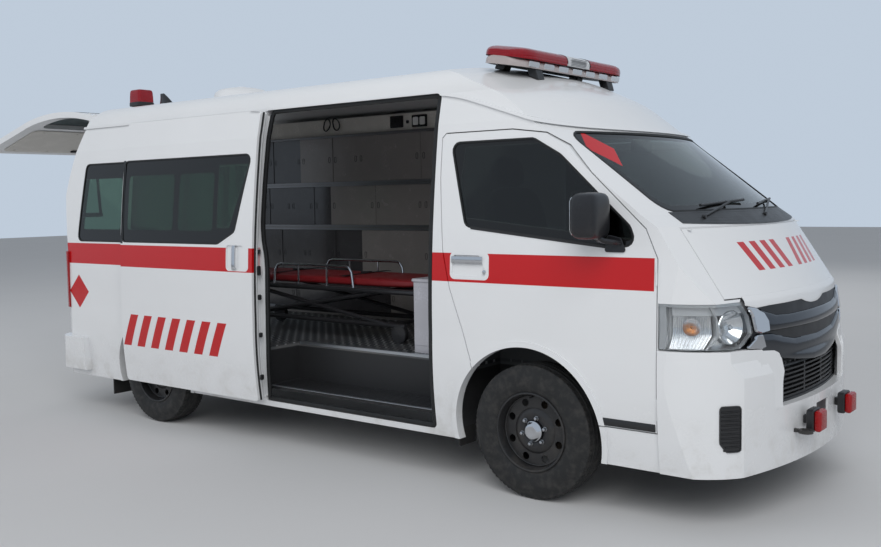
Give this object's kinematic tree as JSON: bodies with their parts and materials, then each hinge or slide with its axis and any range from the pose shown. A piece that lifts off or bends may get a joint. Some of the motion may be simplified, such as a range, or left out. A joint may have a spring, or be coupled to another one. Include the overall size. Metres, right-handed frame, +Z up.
{
  "type": "high-roof van ambulance",
  "caption": "White high-roof van ambulance with red stripe and light bar, sliding side door open, tailgate raised, stretcher and cupboards inside; doors, bonnet and wheels move.",
  "frame": {"origin": "on the ground, at the middle of the length and width", "axes": "+X to the nose, +Y to the vehicle's left, +Z up"},
  "size_m": [6.8032, 2.27, 2.385],
  "materials": {
    "white_paint": "gloss white with a red band",
    "dark_glass": "dark tinted",
    "clear_glass": "clear, light green tint",
    "chrome_trim": "polished",
    "lamp_clear": "clear lens over a bright reflector",
    "lamp_red": "red lens",
    "tyre_rubber": "black, worn",
    "flap_rubber": "matt black",
    "wheel_black": "satin black",
    "chassis_steel": "black underseal",
    "cast_steel": "bare casting",
    "floor_sheet": "chequer plate",
    "cupboard_grey": "satin grey",
    "black_plastic": "grained black",
    "seat_cloth": "woven dark grey",
    "stretcher_red": "gloss red tube",
    "pad_vinyl": "black vinyl",
    "bright_steel": "ground"
  },
  "bodies": {
    "body": {"bench_box": "cupboard_grey", "bumper_lamps": "lamp_red", "cabinets": "cupboard_grey", "cross_members": "chassis_steel", "dashboard": "black_plastic", "door_rails": "bright_steel", "engine": "chassis_steel", "exhaust": "chassis_steel", "floor_pan": "floor_sheet", "frame_rails": "chassis_steel", "front_arms": "chassis_steel", "front_bumper": "white_paint", "front_lamps": "lamp_clear", "fuel_tank": "chassis_steel", "grille": "black_plastic", "grille_bars": "chrome_trim", "light_bar": "lamp_red", "mud_flaps": "flap_rubber", "nose_panel": "white_paint", "prop_shaft": "chassis_steel", "rear_axle": "chassis_steel", "rear_beacon": "lamp_red", "rear_bumper": "white_paint", "roof": "white_paint", "roof_vent": "white_paint", "seats": "seat_cloth", "side_glass": "dark_glass", "side_left": "white_paint", "side_right": "white_paint", "sliding_door": "white_paint", "stretcher": "stretcher_red", "stretcher_pad": "pad_vinyl", "tail_lamps": "lamp_red", "windscreen": "clear_glass", "wipers": "black_plastic"},
    "door_right": {"door_right": "white_paint", "door_glass_right": "dark_glass", "mirror_right": "white_paint"},
    "door_left": {"door_left": "white_paint", "door_glass_left": "dark_glass", "mirror_left": "white_paint"},
    "bonnet": {"bonnet": "white_paint"},
    "tailgate": {"tailgate": "white_paint", "tailgate_glass": "dark_glass"},
    "steering_wheel": {"steering_wheel": "black_plastic"},
    "knuckle_right": {"knuckle_right": "cast_steel"},
    "strut_tube_right": {"strut_tube_right": "black_plastic"},
    "strut_rod_right": {"strut_rod_right": "bright_steel"},
    "wheel_front_right": {"rim_front_right": "wheel_black", "tyre_front_right": "tyre_rubber"},
    "wheel_rear_right": {"rim_rear_right": "wheel_black", "tyre_rear_right": "tyre_rubber"},
    "knuckle_left": {"knuckle_left": "cast_steel"},
    "strut_tube_left": {"strut_tube_left": "black_plastic"},
    "strut_rod_left": {"strut_rod_left": "bright_steel"},
    "wheel_front_left": {"rim_front_left": "wheel_black", "tyre_front_left": "tyre_rubber"},
    "wheel_rear_left": {"rim_rear_left": "wheel_black", "tyre_rear_left": "tyre_rubber"}
  },
  "joints": [
    {"name": "door_right", "type": "hinge", "parent": "body", "child": "door_right", "pos_m": [2.855, -0.941, 0.56], "axis": [0, 0, 1], "range_deg": [0, 65]},
    {"name": "door_left", "type": "hinge", "parent": "body", "child": "door_left", "pos_m": [2.855, 0.941, 0.56], "axis": [0, 0, -1], "range_deg": [0, 65]},
    {"name": "bonnet", "type": "hinge", "parent": "body", "child": "bonnet", "pos_m": [2.9186, 0, 1.37], "axis": [0, -1, 0], "range_deg": [0, 45]},
    {"name": "tailgate", "type": "hinge", "parent": "body", "child": "tailgate", "pos_m": [-1.782, 0, 2.168], "axis": [0, 1, 0], "range_deg": [-75, 0]},
    {"name": "steering", "type": "hinge", "parent": "body", "child": "steering_wheel", "pos_m": [2.58, 0.42, 1.218], "axis": [-0.8662, 0, 0.4998], "range_deg": [-540, 540]},
    {"name": "strut_right", "type": "hinge", "parent": "body", "child": "strut_tube_right", "pos_m": [-1.885, -0.69, 1.45], "axis": [0, 1, 0], "range_deg": [-0.5, 15.44]},
    {"name": "strut_rod_right", "type": "slide", "parent": "strut_tube_right", "child": "strut_rod_right", "axis": [-0.0896, 0, 0.996], "range_m": [-0.1289, 0.002]},
    {"name": "knuckle_right", "type": "hinge", "parent": "body", "child": "knuckle_right", "pos_m": [2.15, -0.715, 0.346], "axis": [0, 0, 1], "range_deg": [-35.5, 35.5]},
    {"name": "wheel_front_right", "type": "hinge", "parent": "knuckle_right", "child": "wheel_front_right", "pos_m": [2.15, -0.827, 0.346], "axis": [0, 1, 0], "continuous": true},
    {"name": "wheel_rear_right", "type": "hinge", "parent": "body", "child": "wheel_rear_right", "pos_m": [-0.96, -0.827, 0.346], "axis": [0, 1, 0], "continuous": true},
    {"name": "strut_left", "type": "hinge", "parent": "body", "child": "strut_tube_left", "pos_m": [-1.885, 0.69, 1.45], "axis": [0, 1, 0], "range_deg": [-0.5, 15.44]},
    {"name": "strut_rod_left", "type": "slide", "parent": "strut_tube_left", "child": "strut_rod_left", "axis": [-0.0896, 0, 0.996], "range_m": [-0.1289, 0.002]},
    {"name": "knuckle_left", "type": "hinge", "parent": "body", "child": "knuckle_left", "pos_m": [2.15, 0.715, 0.346], "axis": [0, 0, 1], "range_deg": [-35.5, 35.5]},
    {"name": "wheel_front_left", "type": "hinge", "parent": "knuckle_left", "child": "wheel_front_left", "pos_m": [2.15, 0.827, 0.346], "axis": [0, 1, 0], "continuous": true},
    {"name": "wheel_rear_left", "type": "hinge", "parent": "body", "child": "wheel_rear_left", "pos_m": [-0.96, 0.827, 0.346], "axis": [0, 1, 0], "continuous": true}
  ],
  "couplings": [
    {"joint": "strut_right", "follows": "tailgate", "ratio": -0.19917},
    {"joint": "strut_rod_right", "follows": "tailgate", "m_per_rad": 0.09691},
    {"joint": "knuckle_right", "follows": "steering", "ratio": 0.064815},
    {"joint": "strut_left", "follows": "tailgate", "ratio": -0.19917},
    {"joint": "strut_rod_left", "follows": "tailgate", "m_per_rad": 0.09691},
    {"joint": "knuckle_left", "follows": "steering", "ratio": 0.064815}
  ]
}
